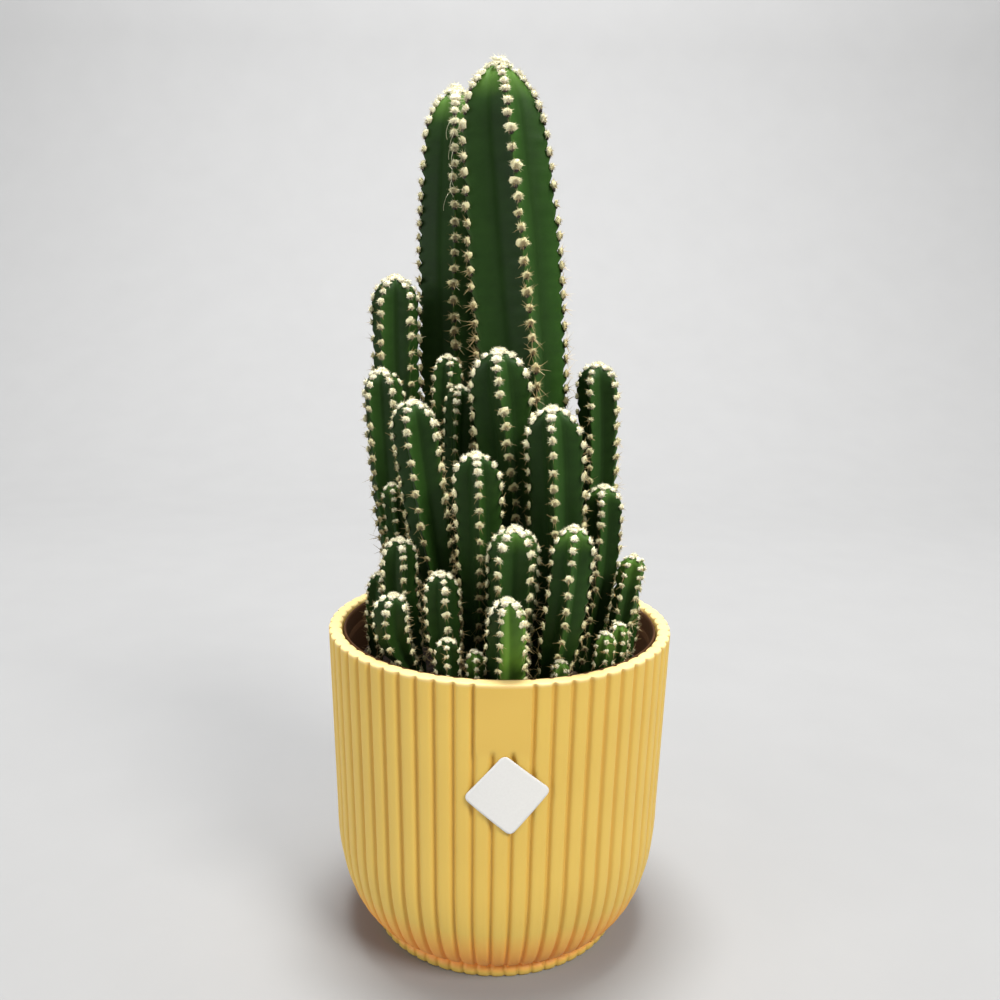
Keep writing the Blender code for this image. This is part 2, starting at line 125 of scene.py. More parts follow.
def add_piece(name, points, faces, materials, smooth=True, marks=None, slots=None):
    # marks are named numbers per point; slots is the material of each face.
    mesh = bpy.data.meshes.new(name)
    mesh.from_pydata(np.asarray(points).tolist(), [], [tuple(f) for f in faces])
    for item in materials:
        mesh.materials.append(item)
    flags = np.full(len(mesh.polygons), smooth, dtype=bool)
    mesh.polygons.foreach_set("use_smooth", flags)
    if slots is not None:
        mesh.polygons.foreach_set("material_index", np.asarray(slots, dtype=np.int32))
    for key, values in (marks or {}).items():
        layer = mesh.attributes.new(key, "FLOAT", "POINT")
        layer.data.foreach_set("value", np.asarray(values, dtype=np.float32))
    mesh.update()
    made = bpy.data.objects.new(name, mesh)
    scene.collection.objects.link(made)
    return made


def grid_faces(rows, columns, start=0, closed=True):
    i = np.arange(rows - 1)[:, None] * columns
    j = np.arange(columns if closed else columns - 1)[None, :]
    n = (j + 1) % columns
    quads = np.stack([i + j, i + n, i + columns + n, i + columns + j], axis=-1)
    return (quads.reshape(-1, 4) + start).tolist()


def turned(profile, sides):
    # Turns (radius, height) pairs about the pot's axis; angle 0 is the front.
    angle = 2.0 * np.pi * np.arange(sides) / sides
    r = np.array([p[0] for p in profile])[:, None]
    z = np.array([p[1] for p in profile])[:, None]
    return np.stack([r * np.sin(angle), -r * np.cos(angle), z + 0.0 * angle], axis=-1)


def wall_radius(z):
    # The crests of the ribs: a straight taper above, a round bowl below.
    z = np.asarray(z, dtype=float)
    straight = RIM_RADIUS - WALL_TAPER * (POT_HEIGHT - z)
    top = RIM_RADIUS - WALL_TAPER * (POT_HEIGHT - BOWL_TOP)
    share = np.clip((BOWL_TOP - z) / (BOWL_TOP - WAIST_HEIGHT), 0.0, 1.0)
    bowl = WAIST_RADIUS + (top - WAIST_RADIUS) * (1.0 - share ** 2.2) ** (1.0 / 1.8)
    return np.where(z >= BOWL_TOP, straight, bowl)


def pot_outside():
    # One rib is sampled most closely beside its grooves.
    offsets = np.array([0.0, 0.36, 0.58, 0.70, 0.80, 0.90])
    one_rib = np.concatenate([[-1.0], -offsets[:0:-1], offsets])
    centre = np.arange(RIBS)[:, None] * RIB_PITCH
    angle = (centre + 0.5 * RIB_PITCH * one_rib[None, :]).ravel()
    inside = np.tile(np.abs(one_rib), RIBS)
    flank = np.clip((inside - FLANK_START) / (1.0 - FLANK_START), 0.0, 1.0)
    curve = FLAT_SHARE * inside ** 2 + (1.0 - FLAT_SHARE) * flank * flank * (3.0 - 2.0 * flank)
    turned_angle = (angle + np.pi) % (2.0 * np.pi) - np.pi
    in_panel = np.abs(turned_angle) < 1.5 * RIB_PITCH * 0.93
    # Each row is a radius, a height and how deep the grooves are there.
    rows = [(FOOT_RADIUS - 0.0005 + z, z, 0.40) for z in (0.0, 0.0005)]
    rows += [(FOOT_RADIUS + 0.00015, 0.0012, 0.45), (FOOT_RADIUS + 0.0002, 0.0019, 0.45),
             (FOOT_RADIUS - 0.0001, 0.0024, 0.40), (WAIST_RADIUS + 0.0008, 0.0029, 0.32),
             (WAIST_RADIUS + 0.0004, 0.0035, 0.30)]
    for z in (0.0042, 0.0052, 0.0064, 0.0078, 0.0094, 0.0112, 0.0132, 0.0155, 0.0180,
              0.0210, 0.0240, 0.0275, 0.0310, 0.0340, 0.0420, 0.0520, 0.0600, 0.0640,
              0.0652, 0.0656, 0.0660, 0.0664, 0.0668, 0.0672, 0.0680, 0.0740, 0.0790,
              0.0815, 0.0824):
        rows.append((float(wall_radius(z)), z, min(1.0, 0.5 + z / 0.02)))
    rows += [(RIM_RADIUS - 0.00002, 0.0829, 0.80), (RIM_RADIUS - 0.00008, 0.08325, 0.62),
             (RIM_RADIUS - 0.00025, 0.08343, 0.46), (RIM_RADIUS - 0.0005, 0.08350, 0.32),
             (RIM_RADIUS - 0.0014, 0.08350, 0.12), (RIM_INNER + 0.0010, 0.08350, 0.25),
             (RIM_INNER + 0.0002, 0.08343, 0.50), (RIM_INNER, 0.0831, 0.56),
             (RIM_INNER - 0.0001, 0.0825, 0.46), (RIM_INNER - 0.0001, 0.0815, 0.0)]
    points = []
    groove_shade = []
    for radius, z, depth in rows:
        wedge = np.clip((PANEL_BOTTOM + 0.0001 - z) / PANEL_EDGE, 0.0, 1.0)
        share = np.where(in_panel, wedge, 1.0)
        sunk = RIB_DEPTH * depth * curve * share
        if z > 0.08 and radius < RIM_INNER + 0.001:
            sunk = -sunk
        r = radius - sunk
        points.append(np.stack([r * np.sin(angle), -r * np.cos(angle), 0.0 * r + z], axis=-1))
        # The painted shade of the grooves, none on the rim's top; the plain panel takes a share of
        # the same tone.
        shade = min(1.0, depth * 1.2) if z < 0.0834 else 0.0
        groove_shade.append(curve * share * shade + PANEL_TONE * (1.0 - share))
    return np.array(points), np.array(groove_shade)


def pot_piece(material):
    outside, groove_shade = pot_outside()
    rows, columns = outside.shape[:2]
    points = [outside.reshape(-1, 3)]
    faces = grid_faces(rows, columns)
    wall = [(RIM_INNER - 0.0002, 0.0800)]
    wall += [(float(wall_radius(z)) - WALL, z + 0.0008)
             for z in (0.06, 0.034, 0.022, 0.0165, 0.011, 0.0075)]
    wall += [(0.0306, 0.0030), (0.0290, 0.0024), (0.0100, 0.0024)]
    inner = turned(wall, columns)
    start = rows * columns
    points.append(inner.reshape(-1, 3))
    faces += grid_faces(len(wall), columns, start)
    last = start - columns
    for k in range(columns):
        n = (k + 1) % columns
        faces.append((last + k, last + n, start + n, start + k))
    end = start + (len(wall) - 1) * columns
    faces.append(tuple(range(end, end + columns)))
    # The underside has a shallow ring round a flat middle.
    below = [(0.0313, 0.0), (0.0310, 0.0003), (0.0306, 0.0008), (0.0300, 0.0011),
             (0.0277, 0.0011), (0.0271, 0.0008), (0.0266, 0.0003), (0.0262, 0.0), (0.0080, 0.0)]
    under = turned(below, columns)
    start = start + len(wall) * columns
    points.append(under.reshape(-1, 3))
    faces += [f[::-1] for f in grid_faces(len(below), columns, start)]
    for k in range(columns):
        n = (k + 1) % columns
        faces.append((k, start + k, start + n, n))
    end = start + (len(below) - 1) * columns
    faces.append(tuple(range(end + columns - 1, end - 1, -1)))
    all_points = np.concatenate(points)
    # Marks for the material: painted shade in a groove, a painted highlight on the rim's edge, and
    # painted warm bounce light low near the foot.
    height = all_points[:, 2]
    marks = np.zeros(len(all_points))
    marks[:rows * columns] = groove_shade.ravel()
    reach = np.hypot(all_points[:, 0], all_points[:, 1])
    # Painted highlight on the rim's top.
    painted_edge_highlight = np.clip((height - 0.0824) / 0.0008, 0.0, 1.0) * (reach > 0.040)
    # Painted warm bounce light, strongest just above the foot.
    low = np.clip((0.0180 - height) / 0.0125, 0.0, 1.0)
    low = low * np.clip((height - 0.0014) / 0.0016, 0.0, 1.0)
    return add_piece("cover_pot_moulded", all_points, faces, [material], True,
                     {"groove_shade": marks, "painted_edge_highlight": painted_edge_highlight, "low": low})


# Polypropylene, moulded and finely matted: a soft broad highlight, painted shade in a
# deeper orange down in the grooves, painted warm bounce light in orange near the foot,
# a painted highlight that makes the rim's top paler, and barely seen clouds about 18 mm
# across. The real matting is about a twentieth of a millimetre, too fine to show, and drawn coarser.
POT_CLOUD = 0.018
POT_GRAIN = 0.00038
# A mix of colours takes its share in input 0 and its colours in inputs 6 and 7.
COLOUR_MIX = {"data_type": "RGBA"}
polypropylene, tree, shader, on_piece = new_material("polypropylene_matt_yellow")
cloud = node(tree, "ShaderNodeTexNoise", None, {"Scale": 1.0 / POT_CLOUD, "Detail": 3.0}, on_piece)
grain = node(tree, "ShaderNodeTexNoise", None, {"Scale": 1.0 / POT_GRAIN, "Detail": 2.0}, on_piece)
tone = node(tree, "ShaderNodeMix", COLOUR_MIX,
            {6: linear("DDB855"), 7: linear("E5C25E")}, [(0, cloud, "Fac")])
# Painted shade: the grooves turn a deeper orange.
groove_shade_mark = node(tree, "ShaderNodeAttribute", {"attribute_name": "groove_shade"})
sink = node(tree, "ShaderNodeMath", {"operation": "MULTIPLY"}, {1: 0.28}, [(0, groove_shade_mark, "Fac")])
painted_crease_shade = node(tree, "ShaderNodeMix", COLOUR_MIX, {7: linear("CB8C36")}, [(0, sink, 0), (6, tone, 2)])
# Painted warm bounce light: orange near the foot.
painted_bounce_mark = node(tree, "ShaderNodeAttribute", {"attribute_name": "low"})
painted_bounce_share = node(tree, "ShaderNodeMath", {"operation": "MULTIPLY"}, {1: 0.95},
                 [(0, painted_bounce_mark, "Fac")])
painted_bounce_light = node(tree, "ShaderNodeMix", COLOUR_MIX, {7: linear("FFA64A")},
            [(0, painted_bounce_share, 0), (6, painted_crease_shade, 2)])
# Painted highlight: the rim's top is mixed toward pale cream.
rim_highlight_mark = node(tree, "ShaderNodeAttribute", {"attribute_name": "painted_edge_highlight"})
rim_highlight_share = node(tree, "ShaderNodeMath", {"operation": "MULTIPLY"}, {1: 0.46},
                  [(0, rim_highlight_mark, "Fac")])
lit = node(tree, "ShaderNodeMix", COLOUR_MIX, {7: linear("EBD5A6")},
           [(0, rim_highlight_share, 0), (6, painted_bounce_light, 2)])
plug(shader, "Base Color", lit, 2)
rough = node(tree, "ShaderNodeMapRange", None, {"To Min": 0.46, "To Max": 0.60},
             [("Value", cloud, "Fac")])
plug(shader, "Roughness", rough, "Result")
bump = node(tree, "ShaderNodeBump", None, {"Strength": 0.12, "Distance": 0.0001},
            [("Height", grain, "Fac")])
plug(shader, "Normal", bump, "Normal")
shader.inputs["IOR"].default_value = 1.49
shader.inputs["Subsurface Weight"].default_value = 0.04
shader.inputs["Subsurface Radius"].default_value = (0.004, 0.002, 0.0008)

pot = pot_piece(polypropylene)
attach(pot, "root")
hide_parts("cover_pot")


# Nursery pot. A thin vacuum-formed pot of brown recycled plastic stands inside the
# cover pot, with its plain lip just under the cover pot's rim.
NURSERY_SIDES = 160
nursery_profile = [
    (0.0100, 0.0028), (0.0285, 0.0028), (0.0295, 0.0034), (0.0330, 0.0260), (0.0368, 0.0520),
    (0.0400, 0.0790), (0.0406, 0.0798), (0.0413, 0.0801), (0.0416, 0.0806), (0.0416, 0.0826),
    (0.0415, 0.0829), (0.0414, 0.0831), (0.0412, 0.0831), (0.0410, 0.0829), (0.0408, 0.0822),
    (0.0404, 0.0800), (0.0399, 0.0780), (0.0388, 0.0730), (0.0378, 0.0680), (0.0355, 0.0520),
    (0.0285, 0.0042), (0.0100, 0.0042),
]


def closed_faces(rows, columns):
    # Rings joined into a wall, with one flat face at each end.
    last = (rows - 1) * columns
    ends = [tuple(range(columns - 1, -1, -1)), tuple(range(last, last + columns))]
    return grid_faces(rows, columns) + ends


rings = turned(nursery_profile, NURSERY_SIDES)
faces = closed_faces(len(nursery_profile), NURSERY_SIDES)

# Recycled polystyrene, vacuum formed: brown and nearly matt, with patches of dust
# from the potting bench a few millimetres across.
DUST_PATCH = 0.0055
polystyrene, tree, shader, on_piece = new_material("polystyrene_recycled_brown")
dust = node(tree, "ShaderNodeTexNoise", None, {"Scale": 1.0 / DUST_PATCH, "Detail": 5.0}, on_piece)
tone = node(tree, "ShaderNodeMix", COLOUR_MIX,
            {6: linear("422917"), 7: linear("4E331D")}, [(0, dust, "Fac")])
plug(shader, "Base Color", tone, 2)
rough = node(tree, "ShaderNodeMapRange", None, {"To Min": 0.62, "To Max": 0.80},
             [("Value", dust, "Fac")])
plug(shader, "Roughness", rough, "Result")
bump = node(tree, "ShaderNodeBump", None, {"Strength": 0.15, "Distance": 0.0002},
            [("Height", dust, "Fac")])
plug(shader, "Normal", bump, "Normal")
shader.inputs["Specular IOR Level"].default_value = 0.12
nursery = add_piece("nursery_pot_formed", rings.reshape(-1, 3), faces, [polystyrene])
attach(nursery, "root")
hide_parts("nursery_pot")


# Soil. Peat and bark potting soil fills the nursery pot to about eleven millimetres
# below its lip. Its top is loose crumbs with a few pale bits of dried wool and bark.
SOIL_TOP = 0.0718
SOIL_RADIUS = 0.0381
SOIL_SIDES = 150
SOIL_WAVE = 0.00045
CRUMBS = 2600
PALE_CRUMBS = 0.06
draw = np.random.RandomState(7)


def soft_noise(x, y):
    wave = np.sin(230.0 * x + 1.3) * np.cos(210.0 * y - 0.6)
    wave += 0.5 * np.sin(410.0 * (x + y)) + 0.35 * np.sin(900.0 * x - 350.0 * y)
    wave += 0.3 * np.cos(1300.0 * y + 500.0 * x)
    return wave


def lump(subdivisions):
    # The points and faces of a ball with a radius of one.
    made = bmesh.new()
    bmesh.ops.create_icosphere(made, subdivisions=subdivisions, radius=1.0)
    points = np.array([v.co for v in made.verts])
    faces = np.array([[v.index for v in f.verts] for f in made.faces])
    made.free()
    return points, faces


shares = np.concatenate([np.linspace(0.02, 0.96, 44), [1.0]])
angle = 2.0 * np.pi * np.arange(SOIL_SIDES) / SOIL_SIDES
radius = SOIL_RADIUS * shares[:, None]
x = radius * np.sin(angle)
y = -radius * np.cos(angle)
z = SOIL_TOP + SOIL_WAVE * soft_noise(x, y) + draw.normal(0.0, 0.00016, x.shape)
top = np.stack([x, y, z], axis=-1)
side = turned([(SOIL_RADIUS, 0.0690), (0.0284, 0.0046), (0.0080, 0.0046)], SOIL_SIDES)
sheet = np.concatenate([top, side])
faces = closed_faces(len(sheet), SOIL_SIDES)
points = [sheet.reshape(-1, 3)]
total = len(sheet) * SOIL_SIDES
pale = [np.zeros(total)]
ball, ball_faces = lump(1)
for k in range(CRUMBS):
    distance = 0.0376 * math.sqrt(draw.rand())
    turn = draw.rand() * 2.0 * math.pi
    cx, cy = distance * math.sin(turn), -distance * math.cos(turn)
    size = 0.00022 + 0.00075 * draw.rand() ** 3
    stretch = np.array([1.0 + draw.rand(), 0.7 + 0.5 * draw.rand(), 0.5 + 0.4 * draw.rand()])
    body = ball * size * stretch * (1.0 + draw.normal(0.0, 0.18, (len(ball), 1)))
    spin = draw.rand() * 2.0 * math.pi
    c, s = math.cos(spin), math.sin(spin)
    bx = c * body[:, 0] - s * body[:, 1] + cx
    by = s * body[:, 0] + c * body[:, 1] + cy
    bz = body[:, 2] + SOIL_TOP + SOIL_WAVE * soft_noise(cx, cy) + size * 0.35
    points.append(np.stack([bx, by, bz], axis=-1))
    faces += (ball_faces + total).tolist()
    total += len(ball)
    tone = 1.0 if draw.rand() < PALE_CRUMBS else 0.35 * draw.rand()
    pale.append(np.full(len(ball), tone))

# Peat and bark, sieved and heaped: nearly black brown crumbs of about a millimetre
# that scatter light, with paler dry bark among them.
PEAT_CRUMB = 0.0011
peat, tree, shader, on_piece = new_material("peat_and_bark")
crumb = node(tree, "ShaderNodeTexNoise", None, {"Scale": 1.0 / PEAT_CRUMB, "Detail": 6.0}, on_piece)
tone = node(tree, "ShaderNodeMix", COLOUR_MIX,
            {6: linear("1C140E"), 7: linear("382A1F")}, [(0, crumb, "Fac")])
bark = node(tree, "ShaderNodeAttribute", {"attribute_name": "pale"})
dry = node(tree, "ShaderNodeMix", COLOUR_MIX, {7: linear("8A7350")},
           [(0, bark, "Fac"), (6, tone, 2)])
plug(shader, "Base Color", dry, 2)
shader.inputs["Roughness"].default_value = 0.95
bump = node(tree, "ShaderNodeBump", None, {"Strength": 0.6, "Distance": 0.0006},
            [("Height", crumb, "Fac")])
plug(shader, "Normal", bump, "Normal")
soil = add_piece("soil_crumbs", np.concatenate(points), faces, [peat], True,
                 {"pale": np.concatenate(pale)})
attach(soil, "root")
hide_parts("soil")


# Cactus stems. Each is one upright shoot with five ribs and a woolly cushion every
# few millimetres along each rib, from which short pale spines grow. The cushions
# crowd into a white crown at the tip, and grow tan and thin with age lower down.
NECK_TOP = 0.0735
NECK_SHARE = 0.60
NECK_MOST = 0.0074
BIG_RADIUS = 0.009
DOME = 1.3
STEM_RIBS = 5
RIB_TURN = 2.0 * math.pi / STEM_RIBS
# Each row is the middle line's base (x, y), a point on it, its tip, the radius over
# the crests and the turn, then twist and taper if any, in millimetres and degrees.
STEM_ROWS = {
    "stem_main": ((10.5, 13), (3.3, 7.5, 160.5), (-2.4, 4.5, 224.3), 12.6, 5, 24),
    "stem_back_tall": ((-11, 20), (-13, 25.5, 159.5), (-13.3, 28, 222.5), 10.2, 0),
    "stem_left_tall": ((-21, 13), (-28.5, 14, 149), (-28.5, 12, 173.4), 6.4, -31),
    "stem_left_lean": ((-24, 2), (-29.5, 2, 121), (-31, -1.5, 150), 5.2, -38),
    "stem_left_mid": ((-12.5, -6), (-19, -14.5, 119.5), (-22, -19.5, 144), 5.8, -18),
    "stem_slot_back": ((-14, 4.5), (-15, 4.5, 142), (-14.5, 3, 153.5), 3.8, 17),
    "stem_slot_front": ((-6, -1), (-11.5, -3.5, 133), (-11, -5, 146.5), 3.5, -10),
    "stem_centre": ((2.5, -2.5), (0.5, -9, 123.5), (-1.5, -16, 156), 7.5, -12, 60),
    "stem_right_mid": ((11.5, -11.5), (13.2, -19.3, 115.5), (11, -24.5, 143.5), 6.9, -11),
    "stem_right_tall": ((22.5, 4.5), (25.8, 4.5, 118), (24.5, 4, 152), 5.6, -30),
    "stem_front_left": ((-6.5, -13.5), (-6, -21, 113.5), (-7, -28, 133), 5.7, 3),
    "stem_right_lean": ((22, -7), (26, -6.5, 102), (26, -7.5, 122), 4.8, -18),
    "stem_front_mid": ((2, -19.5), (2.2, -27.5, 98), (2.2, -34, 116.8), 6.1, -34),
    "stem_front_right": ((11.5, -25.3), (14, -30.4, 91), (16, -33.2, 117), 4.9, -4),
    "stem_left_low": ((-21.5, -11.5), (-25.5, -15, 93.5), (-25.2, -21.5, 111), 4.4, 20),
    "stem_front_low": ((-13, -23), (-14.5, -25, 89.5), (-15, -28.5, 104.5), 4.3, 18),
    "stem_left_front": ((-20.5, -18.5), (-26, -24, 86), (-26, -28, 99), 4.3, -15),
    "stem_short_bright": ((1, -28.5), (1.07, -32.5, 80), (0.5, -42.5, 102.5), 4.7, -24, 0, 0.3),
    "stem_right_edge": ((28.5, -11.5), (31, -14.5, 91.5), (32.9, -16, 106), 3.3, -40),
    "stem_short_left": ((-11.5, -32.5), (-13, -33, 82.5), (-13, -35, 90.5), 2.8, 0),
    "stem_short_right": ((28, -20), (29, -21, 83), (29, -21, 90), 2.2, 20),
    "stem_short_far": ((23, -26.5), (24.6, -27.5, 83), (24.8, -28, 90), 2.2, 0),
    "stem_tiny_left": ((-6, -31), (-6.4, -33, 80), (-6.6, -34, 87.3), 2.1, 10),
    "stem_tiny_mid": ((13, -33), (13.4, -34.6, 80), (13.6, -35.3, 85.5), 1.8, 30),
    "stem_left_thin": ((-24, -5), (-27, -7, 110), (-28, -8, 122), 2.6, 5),
    "stem_rear_a": ((-21.5, 27), (-25, 29.3, 116.5), (-27.8, 31.5, 142), 4.1, 150),
    "stem_rear_b": ((-8.2, 31.6), (-9, 39, 129.5), (-9, 43.5, 168), 5.4, 185),
    "stem_rear_c": ((7.5, 28), (7.5, 29.5, 143), (7.5, 30.5, 190), 6.4, 170),
    "stem_rear_d": ((21.5, 25), (21.5, 26, 108), (21.5, 26.5, 132), 5.4, 200),
    "stem_rear_e": ((29.8, 16), (30, 16.8, 96), (30, 17.4, 112), 4.2, 110),
    "stem_left_edge": ((-32.8, -3.5), (-32.4, -4, 87), (-31.7, -4, 97.5), 3.2, 232),
    "stem_rear_f": ((0.6, 33.8), (0.6, 37.4, 96), (0.8, 39, 112), 3.7, 175),
    "stem_rear_h": ((15.5, 31), (16.5, 33, 92), (17, 35, 105), 3.0, 190),
    "stem_right_low": ((34, -2), (34, -2, 84), (34, -2, 92), 3.0, 80),
    "stem_rear_i": ((-28.5, 17), (-30, 18, 88), (-31, 19, 96), 3.3, 212),
}

cushion, cushion_faces = lump(2)


def unit(rows):
    return rows / np.maximum(np.linalg.norm(rows, axis=-1, keepdims=True), 1e-9)


class Stem:
    """One shoot: its middle line and how wide its ribs and valleys are."""

    def __init__(self, row, seed):
        base, middle, tip, radius, turn = row[:5]
        self.base = np.array(base) / 1000.0
        self.middle = np.array(middle) / 1000.0
        self.tip = np.array(tip) / 1000.0
        self.radius = radius / 1000.0
        self.turn = math.radians(turn)
        self.twist = math.radians(row[5]) if len(row) > 5 else 0.0
        self.taper = row[6] if len(row) > 6 else 0.0
        self.draw = np.random.RandomState(seed)
        self.sway = self.draw.uniform(-1.0, 1.0, (STEM_RIBS, 3))
        self.neck = min(self.radius * NECK_SHARE, NECK_MOST)
        self.big = self.radius > BIG_RADIUS
        # The skin: the valleys' share of the crests' radius, how far a crest rises
        # under a cushion, how full the faces are, and how the valleys are rounded.
        self.grooved = 0.60 if self.big else 0.52
        self.knuckle = 0.00062 if self.big else 0.00048
        self.fullness = 0.030 if self.big else 0.060
        self.floor = 0.60 if self.big else 0.56
        self.power = 8 if self.big else 16
        # The cushions: their size, their height over their width, and their spacing
        # at the tip and when full grown.
        self.wool = min(0.00142, 0.00035 + 0.110 * self.radius)
        self.tall = 0.74 if self.big else 0.86
        self.first_step = 0.0017 if self.big else 0.0021
        self.spacing = 0.0039 if self.big else min(0.0040, 0.0022 + 0.36 * self.radius)
        # How far the dark skin of age has come up. The low shoots on the left get painted
        # shade: darker all round, and only part of the painted light on their faces.
        self.shift = 0.012 if self.big else 0.012 + max(0.0, 0.30 * (self.tip[2] - 0.106))
        self.shaded = self.base[0] < -0.010 and self.tip[2] < 0.1125
        if self.shaded:
            self.shift += 0.016

    def centre(self, z):
        # A parabola through the base, the middle point and the tip.
        z = np.maximum(np.asarray(z, dtype=float), NECK_TOP)
        z0, z1, z2 = NECK_TOP, self.middle[2], self.tip[2]
        w0 = (z - z1) * (z - z2) / ((z0 - z1) * (z0 - z2))
        w1 = (z - z0) * (z - z2) / ((z1 - z0) * (z1 - z2))
        w2 = (z - z0) * (z - z1) / ((z2 - z0) * (z2 - z1))
        return np.stack([w0 * self.base[a] + w1 * self.middle[a] + w2 * self.tip[a]
                         for a in (0, 1)], axis=-1)

    def crest(self, z):
        # The crests' radius: a neck in the soil, the grown stem, and a domed tip.
        z = np.asarray(z, dtype=float)
        rise = np.clip((z - NECK_TOP) / (self.middle[2] - NECK_TOP), 0.0, 1.0)
        grown = self.neck + (self.radius - self.neck) * rise * rise * (3.0 - 2.0 * rise)
        if self.big:
            near = np.clip(1.0 - (self.tip[2] - z) / 0.045, 0.0, 1.0)
            grown = grown * (1.0 - 0.26 * near ** 1.5)
        upper = np.clip(1.0 - (self.tip[2] - z) / 0.016, 0.0, 1.0)
        grown = grown * (1.0 + self.taper * (0.33 - upper ** 1.2))
        dome = np.clip((self.tip[2] - z) / (DOME * self.radius), 0.0, 1.0)
        return grown * np.sqrt(np.maximum(0.0, 1.0 - (1.0 - dome) ** 2))

    def valley(self, z):
        z = np.asarray(z, dtype=float)
        fade = np.clip((z - NECK_TOP) / 0.006, 0.0, 1.0)
        young = np.clip((self.tip[2] - z) / (1.1 * self.radius), 0.0, 1.0)
        share = self.grooved + (0.80 - self.grooved) * (1.0 - young)
        return self.crest(z) * (1.0 + (share - 1.0) * fade)

    def rib_turn(self, rib, z):
        # Ribs wander by a degree or two along the stem.
        a, b, c = self.sway[rib]
        wander = 0.030 * a * np.sin(z * 70.0 + 3.0 * b) + 0.018 * c * np.sin(z * 160.0 + a)
        down = (self.tip[2] - np.maximum(z, NECK_TOP)) / (self.tip[2] - NECK_TOP)
        return self.turn + self.twist * down + RIB_TURN * rib + wander

    def areoles(self, rib):
        # Heights of the cushions, spaced along the rib's own line from the tip down.
        fine = 0.0001
        z = self.tip[2] - np.arange(0.0, self.tip[2] - NECK_TOP - 0.001, fine)
        walked = np.concatenate([[0.0], np.cumsum(np.hypot(fine, np.diff(self.crest(z))))])
        along = 0.34 * self.radius + 0.0004 * ((rib * 2) % STEM_RIBS)
        found = []
        while along < walked[-1]:
            found.append(float(np.interp(along, walked, z)))
            grown = min(1.0, (along - 0.25 * self.radius) / (0.008 + 0.6 * self.radius))
            step = self.first_step + (self.spacing - self.first_step) * max(0.0, grown)
            along += step * (1.0 + 0.14 * self.draw.uniform(-1.0, 1.0))
        return found


def stem_skin(stem, rows_of_areoles):
    # A closed skin: each rib's crest and valley are joined by a nearly flat face,
    # and both are rounded. Faces turned to the light get a painted light mark, strongest beside a
    # crest.
    tip = stem.tip[2]
    dome = DOME * stem.radius
    body = np.arange(0.0680, tip - dome, 0.0015)
    part = np.linspace(0.0, 1.0, 16)[:-1]
    crown = tip - dome * (1.0 - np.sin(part * np.pi / 2.0))
    heights = np.concatenate([body, crown])
    share = np.array([0.0, 0.06, 0.18, 0.38, 0.60, 0.81, 1.0])
    if stem.big:
        share = np.array([0.0, 0.05, 0.13, 0.26, 0.42, 0.58, 0.74, 0.88, 1.0])
    crest_r = stem.crest(heights)
    small = np.clip(crest_r / stem.radius, 0.0, 1.0)
    valley_r = stem.valley(heights)
    ring = []
    crest_mark = []
    painted_light_mark = []
    for rib in range(STEM_RIBS):
        crest_turn = stem.rib_turn(rib, heights)
        nearest = np.array(rows_of_areoles[rib])
        gap = np.min(np.abs(heights[:, None] + 0.0015 - nearest[None, :]), axis=1)
        wave = np.cos(np.clip(gap / 0.0019, 0.0, 1.0) * np.pi) * small
        top_r = crest_r + stem.knuckle * wave
        for side in (-1, 1):
            half = stem.rib_turn((rib + side) % STEM_RIBS, heights) - crest_turn
            half = (half + np.pi) % (2.0 * np.pi) - np.pi
            valley_turn = crest_turn + half / 2.0
            cx, cy = top_r * np.sin(crest_turn), -top_r * np.cos(crest_turn)
            vx, vy = valley_r * np.sin(valley_turn), -valley_r * np.cos(valley_turn)
            way = unit(np.stack([vy - cy, cx - vx], axis=-1))
            way = way * np.sign(way[:, :1] * cx[:, None] + way[:, 1:] * cy[:, None])
            facing = np.clip(0.90 * way[:, 0] - 0.44 * way[:, 1], 0.0, 1.0) ** 1.8
            chosen = share[:-1] if side > 0 else share[::-1][:-1]
            for s in chosen:
                px = cx + (vx - cx) * s
                py = cy + (vy - cy) * s
                r = np.maximum(np.hypot(px, py), 1e-9)
                bulge = stem.fullness * crest_r * math.sin(math.pi * s)
                bulge = bulge - 0.00032 * small * max(0.0, 1.0 - s / 0.07)
                floor = stem.floor * crest_r
                wanted = ((r + bulge) ** stem.power + floor ** stem.power) ** (1.0 / stem.power)
                wanted = np.where(crest_r < 1e-6, r, wanted)
                ring.append(np.stack([px * wanted / r, py * wanted / r], axis=-1))
                crest_mark.append(np.full(len(heights), 1.0 - s))
                # Painted light, weaker on the low shoots on the left, which stand in painted shade.
                painted_light = facing * (0.25 + 0.75 * (1.0 - s) ** 1.3)
                painted_light_mark.append(painted_light * (0.4 if stem.shaded else 1.0))
    ring = np.array(ring).transpose(1, 0, 2)
    middle = stem.centre(heights)
    level = np.broadcast_to(heights[:, None, None], ring.shape[:2] + (1,))
    skin = np.concatenate([ring + middle[:, None, :], level], axis=-1)
    return heights, skin, np.array(crest_mark).T, np.array(painted_light_mark).T


class Growth:
    """Collects the parts of one stem with their faces, marks and materials."""

    def __init__(self):
        self.points, self.faces, self.tone, self.age, self.painted_light = [], [], [], [], []
        self.slots, self.smooth, self.total = [], [], 0

    def add(self, points, faces, tone, age, slot, smooth, painted_light=0.0):
        count = len(points)
        self.points.append(points)
        self.faces += [tuple(int(v) + self.total for v in f) for f in faces]
        self.tone.append(np.broadcast_to(tone, (count,)))
        self.age.append(np.broadcast_to(age, (count,)))
        self.painted_light.append(np.broadcast_to(painted_light, (count,)))
        self.slots += [slot] * len(faces)
        self.smooth += [smooth] * len(faces)
        self.total += count


SKIN_SLOT, WOOL_SLOT, SPINE_SLOT = 0, 1, 2
# Half the width of a fibre, drawn far thicker than it is, and of a needle.
FIBRE_HALF = 0.00009
SPINE_HALF = 0.000085


